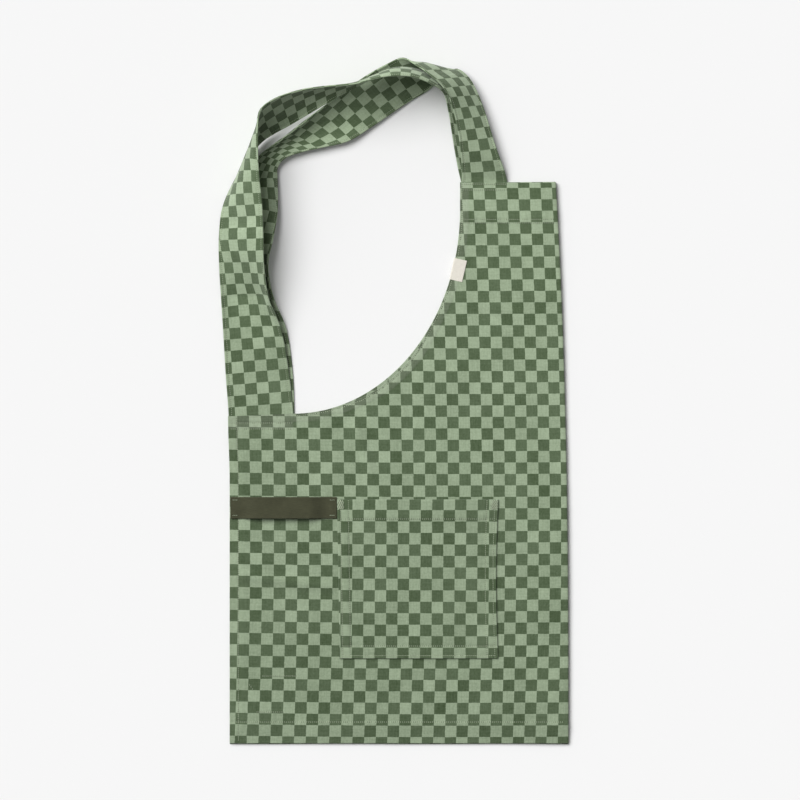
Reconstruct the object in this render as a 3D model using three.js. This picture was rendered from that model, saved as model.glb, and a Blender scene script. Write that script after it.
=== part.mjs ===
// A cross-back smock apron in check cloth. It lies on a table, folded in half along its centre front, so
// the fold is its right edge and the two hemmed back edges lie on each other at the left. Two shoulder
// straps cross over each other and close the loop above the armhole. Millimetres, +Z up, +Y towards the bib.

import * as THREE from 'three';

// Driving sizes of the cloth
const CLOTH = 1.2; // thickness of the body and pocket cloth
const STRAP_CLOTH = 1.4; // a strap is two plies sewn flat
const WEBBING = 1.6;
const TAB = 0.6; // thickness of the label
const CLEARANCE = 0.3; // gap between two pieces that lie on each other
const LAYER_GAP = 2 * STRAP_CLOTH + 3 * CLEARANCE; // room between the two halves for both strap ends
const STACK = 2 * CLOTH + LAYER_GAP; // height of the folded body

// Driving sizes of the body, with x = 0 at the back edge and y = 0 at the hem
const BODY_HEIGHT = 840;
const BODY_WIDTH = 508;
const BIB_SLANT = 19; // how far the fold leans in from the hem to the bib
const BIB_SLANT_POWER = 2.6;
const BACK_HEIGHT = 490; // back edge, hem to strap
const BACK_LEAN = 2.5; // how far the back edge leans out at its top
const BACK_LEAN_START = 0.8; // part of the back edge's height from which it leans
const ARMHOLE = { x: 95, y: 800, across: 250.5, down: 306 }; // quarter ellipse from strap to bib
const BIB_SIDE_LEAN = 1; // the bib's side leans in by this much at the top
const FOLD_RADIUS = 6;
const FOLD_PUFF = 1.2; // extra height of the soft centre fold
const FOLD_REACH = 55;
const WAVE = { height: 0.9, across: 330, along: 410 }; // the upper half never lies quite flat
const BODY_FACES = { back: 12, armhole: 14, across: 11, fold: 6 };

// Driving sizes of the sewn-on pieces
const POCKET = { left: 161, right: 402, top: 365, bottom: 127, lean: 4, waist: 3, puff: 8.4 };
const POCKET_ROUND = 0.8; // power of the pocket's bulge across
const POCKET_GAPE = 1.5; // power with which the bulge grows towards the mouth
const POCKET_FACES = { up: 10, across: 14 };
const LOOP = { left: 1, right: 159.8, bottom: 337, top: 368.5, sewn: 14, ramp: 28, rise: 7.2 };
const LOOP_FACES = { up: 4, across: 16 };
const LABEL = { x: 335.2, y: 711, width: 18, length: 32.5, under: 9, turn: -13, edge: 1.1 };
const LABEL_BEND_STEPS = 5;

// Driving sizes of the straps
const STRAP_BACK_WIDTH = 97;
const STRAP_BIB_WIDTH = 64;
const STRAP_TAPER = 0.8; // part of the strap's length over which it narrows
const STRAP_FLOOR = 0.9; // lowest place of a strap's middle surface
const STRAP_STEPS = 84;
const STRAP_COLUMNS = 8;
const MAX_BOW = 1.7; // half angle of the roundest section, in radians
const MIN_BOW = 0.01; // a flatter section counts as straight
const HALVINGS = 40; // steps of the search for a section's half angle

// Each row is one section of a strap, from the back end to the bib end. Columns: the left edge (lx, ly, lz)
// and the right edge (rx, ry, rz) as one walks along the strap, and bow, the side to which the spare width
// rounds out: 1 towards the face that is up at the back end, -1 towards the other, 0 flat.
const UPPER_STRAP = [
  { lx: -1, ly: 470, lz: 3.8, rx: 95, ry: 474, rz: 3.8, bow: 0 }, // tucked between the halves
  { lx: -2, ly: 498, lz: 3.8, rx: 94, ry: 503, rz: 3.8, bow: 0 },
  { lx: -6, ly: 552, lz: 4.6, rx: 88, ry: 558, rz: 6, bow: 0 },
  { lx: -10, ly: 620, lz: 5, rx: 76, ry: 622, rz: 18, bow: -0.4 },
  { lx: -13, ly: 667, lz: 6, rx: 58, ry: 667, rz: 37, bow: -0.8 },
  { lx: -16, ly: 717, lz: 6, rx: 51, ry: 717, rz: 54, bow: -0.4 },
  { lx: -16, ly: 762, lz: 6, rx: 50, ry: 766, rz: 62, bow: 0.4 },
  { lx: -11, ly: 802, lz: 6, rx: 48, ry: 810, rz: 65, bow: 0.7 }, // soft fold at the upper left corner
  { lx: 8, ly: 844, lz: 5, rx: 44, ry: 850, rz: 66, bow: 0.6 },
  { lx: 35, ly: 887, lz: 5, rx: 42, ry: 891, rz: 67, bow: 0.55 },
  { lx: 51, ly: 904, lz: 5, rx: 42, ry: 922, rz: 68, bow: 0.5 },
  { lx: 68, ly: 915, lz: 5, rx: 46, ry: 949, rz: 68, bow: 0.5 },
  { lx: 90, ly: 927, lz: 8, rx: 66, ry: 965, rz: 67, bow: 0.5 }, // leans back, its reverse side up
  { lx: 121, ly: 945, lz: 20, rx: 105, ry: 978, rz: 70, bow: 0.5 },
  { lx: 157, ly: 966, lz: 35, rx: 147, ry: 984, rz: 73, bow: 0.4 },
  { lx: 190, ly: 984, lz: 40, rx: 190, ry: 988, rz: 75, bow: 0.3 }, // stands on edge over the other strap
  { lx: 218, ly: 999, lz: 40, rx: 218, ry: 996, rz: 76, bow: 0.25 },
  { lx: 250, ly: 1012, lz: 36, rx: 248, ry: 1000, rz: 76, bow: 0.3 },
  { lx: 285, ly: 1009, lz: 30, rx: 276, ry: 998, rz: 73, bow: 0.25 },
  { lx: 322, ly: 994, lz: 20, rx: 303, ry: 987, rz: 65, bow: 0.25 },
  { lx: 354, ly: 968, lz: 9, rx: 320, ry: 974, rz: 48, bow: 0.3 },
  { lx: 377, ly: 927, lz: 6, rx: 328, ry: 945, rz: 32, bow: 0.2 }, // lies down under the other strap
  { lx: 394, ly: 888, lz: 3.4, rx: 335, ry: 902, rz: 15, bow: 0 },
  { lx: 408, ly: 857, lz: 2.3, rx: 342, ry: 863, rz: 3, bow: 0 },
  { lx: 413, ly: 838, lz: 2.12, rx: 347, ry: 840, rz: 2.12, bow: 0 },
  { lx: 417, ly: 820, lz: 2.12, rx: 348, ry: 820, rz: 2.12, bow: 0 }, // tucked behind the bib
];
const LOWER_STRAP = [
  { lx: 0, ly: 470, lz: 2.2, rx: 96, ry: 472, rz: 2.2, bow: 0 }, // tucked between the halves
  { lx: -1, ly: 500, lz: 2.1, rx: 96, ry: 502, rz: 2.1, bow: 0 },
  { lx: -2, ly: 552, lz: 1, rx: 94, ry: 554, rz: 1.5, bow: 0 },
  { lx: -5, ly: 620, lz: 1, rx: 84, ry: 622, rz: 5, bow: 0 },
  { lx: -7, ly: 667, lz: 1, rx: 65, ry: 669, rz: 20, bow: -0.6 },
  { lx: -6, ly: 717, lz: 1, rx: 57, ry: 717, rz: 33, bow: -0.6 },
  { lx: 2, ly: 762, lz: 1, rx: 65, ry: 757, rz: 27, bow: 0.3 },
  { lx: 14, ly: 802, lz: 1, rx: 71, ry: 796, rz: 17, bow: 0.7 },
  { lx: 27, ly: 837, lz: 2, rx: 71, ry: 840, rz: 10, bow: 0.7 },
  { lx: 42, ly: 878, lz: 10, rx: 72, ry: 864, rz: 10, bow: 0 }, // pinched where it turns the corner
  { lx: 60, ly: 893, lz: 20, rx: 83, ry: 877, rz: 12, bow: -0.5 },
  { lx: 84, ly: 910, lz: 24, rx: 110, ry: 887, rz: 12, bow: -0.65 },
  { lx: 112, ly: 932, lz: 27, rx: 142, ry: 894, rz: 11, bow: -0.7 }, // rounded diagonal
  { lx: 143, ly: 956, lz: 28, rx: 178, ry: 903, rz: 10, bow: -0.8 },
  { lx: 177, ly: 981, lz: 32, rx: 214, ry: 925, rz: 7, bow: -0.8 },
  { lx: 207, ly: 1002, lz: 36, rx: 249, ry: 949, rz: 5, bow: -0.8 },
  { lx: 236, ly: 1018, lz: 36, rx: 272, ry: 964, rz: 3, bow: -0.7 },
  { lx: 258, ly: 1027, lz: 36, rx: 297, ry: 979, rz: 2, bow: -0.6 }, // folds over the other strap
  { lx: 276, ly: 1018, lz: 46, rx: 322, ry: 1000, rz: 3, bow: -0.9 },
  { lx: 294, ly: 1006, lz: 60, rx: 341, ry: 1010, rz: 10, bow: -0.5 },
  { lx: 311, ly: 992, lz: 61, rx: 355, ry: 1001, rz: 12, bow: -0.2 },
  { lx: 325, ly: 975, lz: 55, rx: 367, ry: 983, rz: 14, bow: -0.2 },
  { lx: 334, ly: 952, lz: 45, rx: 380, ry: 952, rz: 15, bow: -0.2 },
  { lx: 342, ly: 918, lz: 33, rx: 395, ry: 905, rz: 16, bow: -0.2 }, // its reverse side up
  { lx: 346, ly: 888, lz: 21, rx: 405, ry: 876, rz: 14, bow: -0.2 },
  { lx: 348, ly: 863, lz: 11, rx: 412, ry: 857, rz: 9, bow: 0 },
  { lx: 348, ly: 847, lz: 5.7, rx: 415, ry: 844, rz: 4, bow: 0 },
  { lx: 347, ly: 836, lz: 3.8, rx: 416, ry: 834, rz: 3.8, bow: 0 },
  { lx: 347, ly: 818, lz: 3.8, rx: 417, ry: 818, rz: 3.8, bow: 0 }, // tucked behind the bib
];

const COLOURS = { check: 0x7b8f6b, webbing: 0x474835, tab: 0xf0ebdc };
const MATTE = { roughness: 0.9, metalness: 0 };

const { lerp, smoothstep } = THREE.MathUtils;
const evenly = (count) => Array.from({ length: count + 1 }, (_, i) => i / count);

// Joins rings of points, each with the same number of points, into one closed body with capped ends.
// A ring runs anticlockwise as seen from the end of the stack, and cap lists its triangles.
function closedStack(rings, cap) {
  const size = rings[0].length;
  const triangles = [];
  for (let row = 0; row + 1 < rings.length; row += 1) {
    for (let i = 0; i < size; i += 1) {
      const next = (i + 1) % size;
      const [a, b] = [row * size + i, row * size + next];
      triangles.push(a, b, b + size, a, b + size, a + size);
    }
  }
  const last = (rings.length - 1) * size;
  for (const [a, b, c] of cap) {
    triangles.push(a, c, b, last + a, last + b, last + c);
  }
  const geometry = new THREE.BufferGeometry().setFromPoints(rings.flat());
  geometry.setIndex(triangles);
  geometry.computeVertexNormals();
  return geometry;
}

// A strip whose ring goes out along one side and back along the other: its cap is a row of quads.
function stripCap(columns) {
  const cap = [];
  for (let i = 0; i < columns; i += 1) {
    const back = 2 * columns + 1 - i;
    cap.push([i, i + 1, back - 1], [i, back - 1, back]);
  }
  return cap;
}

// A sheet given as a grid of middle points becomes a slab of even thickness.
function slab(grid, thickness) {
  const rows = grid.length - 1;
  const columns = grid[0].length - 1;
  const rings = grid.map((line, row) => {
    const upper = [];
    const lower = [];
    line.forEach((point, column) => {
      const before = grid[Math.max(row - 1, 0)][column];
      const after = grid[Math.min(row + 1, rows)][column];
      const left = line[Math.max(column - 1, 0)];
      const right = line[Math.min(column + 1, columns)];
      const along = after.clone().sub(before);
      const across = right.clone().sub(left);
      const normal = across.cross(along).normalize();
      upper.push(point.clone().addScaledVector(normal, thickness / 2));
      lower.unshift(point.clone().addScaledVector(normal, -thickness / 2));
    });
    return [...lower, ...upper];
  });
  return closedStack(rings, stripCap(columns));
}

// Height of the upper half's outer face: a low wave, and a rise towards the soft centre fold.
function topHeight(x, y) {
  const wave = Math.cos((2 * Math.PI * x) / WAVE.across) * Math.sin((2 * Math.PI * y) / WAVE.along);
  const toFold = (foldEdge(y) - x) / FOLD_REACH;
  return STACK + (WAVE.height * (1 + wave)) / 2 + FOLD_PUFF * Math.exp(-toFold * toFold);
}

function foldEdge(y) {
  return BODY_WIDTH - BIB_SLANT * (y / BODY_HEIGHT) ** BIB_SLANT_POWER;
}

// Rows of the body from hem to bib, each with its height and the place of its open edge.
function bodyRows() {
  const backRows = evenly(BODY_FACES.back).map((f) => {
    const y = f * BACK_HEIGHT;
    return { y, open: -BACK_LEAN * smoothstep(y, BACK_LEAN_START * BACK_HEIGHT, BACK_HEIGHT) };
  });
  const armholeRows = evenly(BODY_FACES.armhole).map((f) => {
    const angle = (f * Math.PI) / 2;
    const y = ARMHOLE.y - ARMHOLE.down * Math.cos(angle);
    return { y, open: ARMHOLE.x + ARMHOLE.across * Math.sin(angle) };
  });
  const bibTop = { y: BODY_HEIGHT, open: ARMHOLE.x + ARMHOLE.across + BIB_SIDE_LEAN };
  return [...backRows, ...armholeRows, bibTop];
}

// The body is one cloth folded in half: each row is a flat hairpin, open at the back edge.
function bodyGeometry() {
  const rings = bodyRows().map(({ y, open }) => {
    const edge = foldEdge(y) - FOLD_RADIUS;
    const places = evenly(BODY_FACES.across).map((f) => lerp(open, edge, f));
    const foldHeight = topHeight(edge, y);
    const turn = (inset) => evenly(BODY_FACES.fold).slice(1, -1).map((f) => {
      const angle = Math.PI * (f - 0.5);
      const x = edge + (FOLD_RADIUS - inset) * Math.cos(angle);
      const z = foldHeight / 2 + (foldHeight / 2 - inset) * Math.sin(angle);
      return new THREE.Vector3(x, y, z);
    });
    const below = (z) => places.map((x) => new THREE.Vector3(x, y, z));
    const above = (inset) => places.map((x) => new THREE.Vector3(x, y, topHeight(x, y) - inset)).reverse();
    const outer = [...below(0), ...turn(0), ...above(0)];
    const inner = [...below(CLOTH), ...turn(CLOTH), ...above(CLOTH)];
    return [...outer, ...inner.reverse()].reverse();
  });
  return closedStack(rings, stripCap(rings[0].length / 2 - 1));
}

// Half angle of the arc whose length is width and whose chord is chord.
function arcHalfAngle(chord, width) {
  if (chord >= width) return 0;
  let [low, high] = [0, MAX_BOW];
  for (let step = 0; step < HALVINGS; step += 1) {
    const middle = (low + high) / 2;
    if (Math.sin(middle) / middle > chord / width) low = middle;
    else high = middle;
  }
  return low;
}

// A strap is swept through its sections. Where its two edges come nearer to each other than the strap is
// wide, the section rounds out into an arc.
function strapGeometry(sections) {
  const edge = (side) => new THREE.CatmullRomCurve3(
    sections.map((row) => new THREE.Vector3(row[`${side}x`], row[`${side}y`], row[`${side}z`])),
  );
  const [leftEdge, rightEdge] = [edge('l'), edge('r')];
  const middle = (f) => leftEdge.getPoint(f).lerp(rightEdge.getPoint(f), 0.5);
  const bowAt = (f) => {
    const place = f * (sections.length - 1);
    const row = Math.min(Math.floor(place), sections.length - 2);
    return lerp(sections[row].bow, sections[row + 1].bow, place - row);
  };
  const grid = evenly(STRAP_STEPS).map((f) => {
    const [left, right] = [leftEdge.getPoint(f), rightEdge.getPoint(f)];
    const chord = right.clone().sub(left);
    const halfStep = 1 / (2 * STRAP_STEPS);
    const heading = middle(Math.min(f + halfStep, 1)).sub(middle(Math.max(f - halfStep, 0)));
    const outward = chord.clone().cross(heading).normalize();
    const width = lerp(STRAP_BACK_WIDTH, STRAP_BIB_WIDTH, Math.min(f / STRAP_TAPER, 1));
    const half = arcHalfAngle(chord.length(), width) * bowAt(f);
    return evenly(STRAP_COLUMNS).map((t) => {
      const point = left.clone().lerp(right, t);
      if (Math.abs(half) > MIN_BOW) {
        const angle = half * (2 * t - 1);
        const radius = chord.length() / 2 / Math.sin(half);
        point.copy(left).lerp(right, 0.5 + (radius * Math.sin(angle)) / chord.length());
        point.addScaledVector(outward, radius * (Math.cos(angle) - Math.cos(half)));
      }
      point.z = Math.max(point.z, STRAP_FLOOR);
      return point;
    });
  });
  return slab(grid, STRAP_CLOTH);
}

// The patch pocket is sewn flat at its sides and foot, and its mouth stands a little open.
function pocketGeometry() {
  const grid = evenly(POCKET_FACES.up).map((up) => evenly(POCKET_FACES.across).map((across) => {
    const y = lerp(POCKET.bottom, POCKET.top, up);
    const leftSide = POCKET.left + POCKET.lean * (1 - up);
    const rightSide = POCKET.right - POCKET.waist * Math.sin(Math.PI * up);
    const x = lerp(leftSide, rightSide, across);
    const puff = POCKET.puff * Math.sin(Math.PI * across) ** POCKET_ROUND * up ** POCKET_GAPE;
    return new THREE.Vector3(x, y, topHeight(x, y) + CLEARANCE + CLOTH / 2 + puff);
  }));
  return slab(grid, CLOTH);
}

// The webbing is sewn down at both ends and stands up between them, so that a towel passes under it.
function towelLoopGeometry() {
  const grid = evenly(LOOP_FACES.up).map((up) => evenly(LOOP_FACES.across).map((across) => {
    const x = lerp(LOOP.left, LOOP.right, across);
    const y = lerp(LOOP.bottom, LOOP.top, up);
    const toEnd = Math.min(x - LOOP.left, LOOP.right - x);
    const rise = LOOP.rise * smoothstep(toEnd, LOOP.sewn, LOOP.sewn + LOOP.ramp);
    return new THREE.Vector3(x, y, topHeight(x, y) + CLEARANCE + WEBBING / 2 + rise);
  }));
  return slab(grid, WEBBING);
}

// The label is a short tab folded round the armhole edge of the upper half.
function labelGeometry() {
  const outer = CLOTH / 2 + CLEARANCE + TAB;
  const inner = CLOTH / 2 + CLEARANCE;
  const shape = new THREE.Shape();
  shape.moveTo(LABEL.width, outer);
  shape.lineTo(0, outer);
  shape.absarc(0, 0, outer, Math.PI / 2, 1.5 * Math.PI, false);
  shape.lineTo(LABEL.under, -outer);
  shape.lineTo(LABEL.under, -inner);
  shape.lineTo(0, -inner);
  shape.absarc(0, 0, inner, 1.5 * Math.PI, Math.PI / 2, true);
  shape.lineTo(LABEL.width, inner);
  shape.closePath();
  const options = { depth: LABEL.length, bevelEnabled: false, curveSegments: LABEL_BEND_STEPS };
  return new THREE.ExtrudeGeometry(shape, options);
}

function piece(name, geometry, color) {
  const mesh = new THREE.Mesh(geometry, new THREE.MeshStandardMaterial({ color, ...MATTE }));
  mesh.name = name;
  return mesh;
}

const label = piece('label', labelGeometry(), COLOURS.tab);
const labelStand = new THREE.Group();
labelStand.position.set(LABEL.x, LABEL.y, topHeight(LABEL.x, LABEL.y) - CLOTH / 2);
labelStand.rotation.z = THREE.MathUtils.degToRad(LABEL.turn);
label.rotation.x = Math.PI / 2;
label.position.set(-LABEL.edge, LABEL.length / 2, 0);
labelStand.add(label);

const smock = new THREE.Group();
smock.add(
  piece('body', bodyGeometry(), COLOURS.check),
  piece('upper_strap', strapGeometry(UPPER_STRAP), COLOURS.check),
  piece('lower_strap', strapGeometry(LOWER_STRAP), COLOURS.check),
  piece('pocket', pocketGeometry(), COLOURS.check),
  piece('towel_loop', towelLoopGeometry(), COLOURS.webbing),
  labelStand,
);

// The origin is the middle of the footprint, on the table.
const box = new THREE.Box3().setFromObject(smock);
const middleOfBox = box.getCenter(new THREE.Vector3());
smock.position.set(-middleOfBox.x, -middleOfBox.y, -box.min.z);

export default smock;
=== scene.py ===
import math

import bpy
import numpy as np
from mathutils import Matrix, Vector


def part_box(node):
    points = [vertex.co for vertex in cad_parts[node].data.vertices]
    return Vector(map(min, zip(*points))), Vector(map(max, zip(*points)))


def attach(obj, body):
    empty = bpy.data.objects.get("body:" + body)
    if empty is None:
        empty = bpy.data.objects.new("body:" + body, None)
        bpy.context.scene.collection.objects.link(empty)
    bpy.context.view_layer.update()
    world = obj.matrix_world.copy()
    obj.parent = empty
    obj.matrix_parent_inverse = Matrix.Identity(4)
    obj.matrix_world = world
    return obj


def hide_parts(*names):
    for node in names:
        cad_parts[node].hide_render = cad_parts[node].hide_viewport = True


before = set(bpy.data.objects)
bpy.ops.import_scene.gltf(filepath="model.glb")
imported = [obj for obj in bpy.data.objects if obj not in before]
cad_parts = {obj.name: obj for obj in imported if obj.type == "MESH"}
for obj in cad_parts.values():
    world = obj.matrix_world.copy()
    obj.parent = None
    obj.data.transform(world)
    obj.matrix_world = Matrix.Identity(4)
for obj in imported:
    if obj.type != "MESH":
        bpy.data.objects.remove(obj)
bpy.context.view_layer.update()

# Sizes in millimetres of the drawing: x = 0 at the back edge, y = 0 at the hem, z = 0 on the table
CLOTH = 1.2
STRAP_CLOTH = 1.4
WEBBING = 1.6
TAB = 0.6
CLEARANCE = 0.3
STACK = 2 * CLOTH + 2 * STRAP_CLOTH + 3 * CLEARANCE  # both halves, with the strap ends between them
BODY_HEIGHT = 840.0
BODY_WIDTH = 508.0
BIB_SLANT = 19.0
BIB_SLANT_POWER = 2.6
BACK_HEIGHT = 490.0
BACK_LEAN = 2.5
ARMHOLE_X = 95.0
ARMHOLE_Y = 800.0
ARMHOLE_ACROSS = 250.5
ARMHOLE_DOWN = 306.0
FOLD_RADIUS = 6.0
FOLD_PUFF = 1.2
FOLD_REACH = 55.0
FOLD_SQUARE = 0.42  # under 1, the round of the fold is squarer than a circle
WAVE_HEIGHT = 0.9
WAVE_ACROSS = 330.0
WAVE_ALONG = 410.0
POCKET = dict(left=161.0, right=402.0, top=365.0, bottom=127.0, lean=4.0, waist=3.0, puff=8.4)
POCKET_WIDTH = POCKET["right"] - POCKET["left"]
POCKET_HEIGHT = POCKET["top"] - POCKET["bottom"]
POCKET_ROUND = 0.8  # under 1, the puff reaches nearer to the sides
POCKET_SWELL = 1.5  # over 1, the puff keeps nearer to the mouth
LOOP = dict(left=1.0, right=159.8, bottom=337.0, top=368.5, sewn=14.0, rise=7.2)
LABEL = dict(x=335.2, y=711.0, width=18.0, length=32.5, under=9.0, turn=-13.0, edge=1.1)
STRAP_BACK_WIDTH = 97.0
STRAP_BIB_WIDTH = 64.0
STRAP_TAPER = 0.8  # share of the length in which the strap narrows
STRAP_FLOOR = 0.9  # least height of the strap's middle
LEAST_HEIGHT = 0.05  # least height of its faces
MAX_BOW = 1.7  # largest half angle of a rounded section, in radians
LIPS = dict(body=0.5, strap=0.45, pocket=0.4, loop=0.5, label=0.2)  # how far the rounded edges stand out
CHECK = 17.0
STRAP_CHECK = 17.2

# Stitch rows, each by its distance from its edge or by its y
HEM_ROW = 31.5
BACK_ROW = 12.5
BIB_ROWS = (780.0, 785.4)
ARMHOLE_ROW = 2.8
STRAP_SEAM_ROWS = (471.0, 480.0)
BIB_SEAM_ROWS = (BODY_HEIGHT - 1.8, BODY_HEIGHT - 10.5)
BIB_SEAM_ENDS = (349.0, 415.0)
STRAP_EDGE_ROW = 4.2
POCKET_SIDES = (4.5, 16.5)
POCKET_FEET = (4.0, 18.5)
POCKET_HEM = 29.0
POCKET_FACING = 16.0  # width of the turned-in cloth at its sides and foot

# Short rows low on the back
BACK_TACKS = (
    # x0, y0, x1, y1
    (48, 100.5, 99, 100.5),
    (28.5, 88.5, 34.5, 79.5),
    (39, 46.5, 79.5, 46.5),
)

# Relief of the sewn cloth
HEM_RISE = 0.75
HEM_DROOP = 3.1
DROOP_WIDTH = 20.0
DROOP_END = (415.0, 450.0)  # the droop of the back edge ends between these heights
BEFORE_ROW = 1.0  # a hem starts to thin this far before its row
PAST_ROW = 3.0
ARMHOLE_FACING = 12.5  # width of the doubled cloth along the armhole
FACING_RISE = 0.45
FACING_SLOPE = 2.0
TUCK = 4.2  # how far the upper half's armhole edge slips back, so that the lower half shows
TUCK_START = (498.0, 530.0)
TUCK_END = (565.0, 630.0)
SEAM_END = (ARMHOLE_X - 2, ARMHOLE_X + 6)
ROW_SINK = 0.5
ROW_REACH = 1.5
PUCKER = dict(height=0.26, reach=6.0, length=13.0, stray=1.7, stray_length=29.0)
SLACK = dict(height=0.3, across=23.0, along=29.0, sway_across=1.3, sway_along=0.9,
             sway_rows=47.0, sway_columns=53.0)
POCKET_SIDE_RISE = 0.9
POCKET_HEM_RISE = 1.0
POCKET_RIM_RISE = 0.5
POCKET_RIM_PLACE = 1.2
POCKET_RIM_REACH = 1.1

# Soft creases of the body, each a low ridge from one place to another
CREASE_BEFORE = 20.0  # a crease starts to rise this far before its ends
CREASE_WITHIN = 15.0  # and has its full height this far within them
CREASES = np.array([
    # x0, y0, x1, y1, reach, height
    (12, 252, 148, 234, 8, 3.2),
    (307, 571, 470, 453, 9, 1.7),
    (337, 668, 442, 640, 8, 1.9),
    (187, 480, 212, 400, 8, 2.2),
])

# One section of a strap in each row, from its back end to its bib end: the left edge, the right edge and
# bow, the side to which the spare width rounds out
UPPER_STRAP = np.array([
    # lx, ly, lz, rx, ry, rz, bow
    (-1, 470, 3.8, 95, 474, 3.8, 0),
    (-2, 498, 3.8, 94, 503, 3.8, 0),
    (-6, 552, 4.6, 88, 558, 6, 0),
    (-10, 620, 5, 76, 622, 18, -0.4),
    (-13, 667, 6, 58, 667, 37, -0.8),
    (-16, 717, 6, 51, 717, 54, -0.4),
    (-16, 762, 6, 50, 766, 62, 0.4),
    (-11, 802, 6, 48, 810, 65, 0.7),
    (8, 844, 5, 44, 850, 66, 0.6),
    (35, 887, 5, 42, 891, 67, 0.55),
    (51, 904, 5, 42, 922, 68, 0.5),
    (68, 915, 5, 46, 949, 68, 0.5),
    (90, 927, 8, 66, 965, 67, 0.5),
    (121, 945, 20, 105, 978, 70, 0.5),
    (157, 966, 35, 147, 984, 73, 0.4),
    (190, 984, 40, 190, 988, 75, 0.3),
    (218, 999, 40, 218, 996, 76, 0.25),
    (250, 1012, 36, 248, 1000, 76, 0.3),
    (285, 1009, 30, 276, 998, 73, 0.25),
    (322, 994, 20, 303, 987, 65, 0.25),
    (354, 968, 9, 320, 974, 48, 0.3),
    (377, 927, 6, 328, 945, 32, 0.2),
    (394, 888, 3.4, 335, 902, 15, 0),
    (408, 857, 2.3, 342, 863, 3, 0),
    (413, 838, 2.12, 347, 840, 2.12, 0),
    (417, 820, 2.12, 348, 820, 2.12, 0),
])
LOWER_STRAP = np.array([
    # lx, ly, lz, rx, ry, rz, bow
    (0, 470, 2.2, 96, 472, 2.2, 0),
    (-1, 500, 2.1, 96, 502, 2.1, 0),
    (-2, 552, 1, 94, 554, 1.5, 0),
    (-5, 620, 1, 84, 622, 5, 0),
    (-7, 667, 1, 65, 669, 20, -0.6),
    (-6, 717, 1, 57, 717, 33, -0.6),
    (2, 762, 1, 65, 757, 27, 0.3),
    (14, 802, 1, 71, 796, 17, 0.7),
    (27, 837, 2, 71, 840, 10, 0.7),
    (42, 878, 10, 72, 864, 10, 0),
    (60, 893, 20, 83, 877, 12, -0.5),
    (84, 910, 24, 110, 887, 12, -0.65),
    (112, 932, 27, 142, 894, 11, -0.7),
    (143, 956, 28, 178, 903, 10, -0.8),
    (177, 981, 32, 214, 925, 7, -0.8),
    (207, 1002, 36, 249, 949, 5, -0.8),
    (236, 1018, 36, 272, 964, 3, -0.7),
    (258, 1027, 36, 297, 979, 2, -0.6),
    (276, 1018, 46, 322, 1000, 3, -0.9),
    (294, 1006, 60, 341, 1010, 10, -0.5),
    (311, 992, 61, 355, 1001, 12, -0.2),
    (325, 975, 55, 367, 983, 14, -0.2),
    (334, 952, 45, 380, 952, 15, -0.2),
    (342, 918, 33, 395, 905, 16, -0.2),
    (346, 888, 21, 405, 876, 14, -0.2),
    (348, 863, 11, 412, 857, 9, 0),
    (348, 847, 5.7, 415, 844, 4, 0),
    (347, 836, 3.8, 416, 834, 3.8, 0),
    (347, 818, 3.8, 417, 818, 3.8, 0),
])

# How the checks run along a strap: at each place along it, the row of checks that starts there, how far from
# the left edge a column starts, the width of a column, and how far a row slants
UPPER_CHECKS = np.array([
    # along, row, column, pitch, slant
    (17, 0, 9.3, 17.45, 0.03),
    (186, 10, 9.6, 17.5, 0.03),
    (220, 12, 9.6, 15.6, 0),
    (254.5, 14, 8.5, 16, 0),
    (290, 16, 2, 18.1, 0),
    (326, 18, 0, 18.3, -0.045),
    (360.5, 20, -2, 18.2, -0.035),
    (393.5, 22, -7.5, 18.8, 0),
    (412, 23, -13, 18.9, 0),
    (471.5, 27, -18, 17.6, 0.12),
    (540, 31, -19, 17.6, 0.12),
    (940, 54, -10, 17.6, 0),
])
LOWER_CHECKS = np.array([
    # along, row, column, pitch, slant
    (50, -26.4, 65, 17.5, 0),
    (335, -10, 69, 17, 0),
    (384, -7, 53, 17, 0),
    (477.5, 1, 63, 13.6, 0.26),
    (512.5, 3, 54, 14.6, 0.27),
    (545, 5, 46.5, 16.3, 0.19),
    (578, 7, 42.5, 17.8, 0.13),
    (611.5, 9, 38, 18.3, 0.04),
    (662.5, 12, 33, 18.6, 0.05),
    (744, 16, 31, 14.3, 0.1),
    (777, 18, 30, 14.5, 0.03),
    (811.5, 20, 32.5, 17.7, -0.2),
    (845, 22, 33.5, 19, -0.34),
    (880.5, 24, 32, 19.2, -0.27),
    (915, 26, 31, 17.6, 0),
])

# How the checks run on the body and the pocket: the first column and row, the pitch of each, and the lengths
# over which the grain leans and bends by one check
BODY_GRAIN = dict(column=-19.39, width=17.885, lean=510.6, bend_up=567.7, bend_across=515.4,
                  row=22.6485, height=17.153, drop=1219.0, bow=882.4)
POCKET_GRAIN = dict(column=-15.66, width=17.062, lean=3046.0, row=14.366, height=17.21, drop=5513.0)

# Colours as a straight light shows them
LIGHT_GREEN = (0.304, 0.380, 0.254)
DARK_GREEN = (0.088, 0.127, 0.066)
THREAD_GREEN = (0.45, 0.52, 0.37)
# Painted shade: the dark colour of the needle-hole discs, standing in for the shade in the dents at the
# stitch ends
HOLE_SHADE_GREEN = (0.035, 0.05, 0.027)
OLIVE = (0.060, 0.062, 0.034)
CREAM = (0.78, 0.745, 0.66)
FLOOR_WHITE = (0.88, 0.88, 0.88)
FLUFF = (0.42, 0.42, 0.38)
HEM_FLUFF = 0.1  # share of fluff on doubled cloth
LINT = 0.09  # pale fluff on the yarns
PAINTED_LIGHT_FALLOFF = 0.27  # painted light: brighter towards the bib by this share per metre, standing in for light that falls off towards the hem
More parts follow.
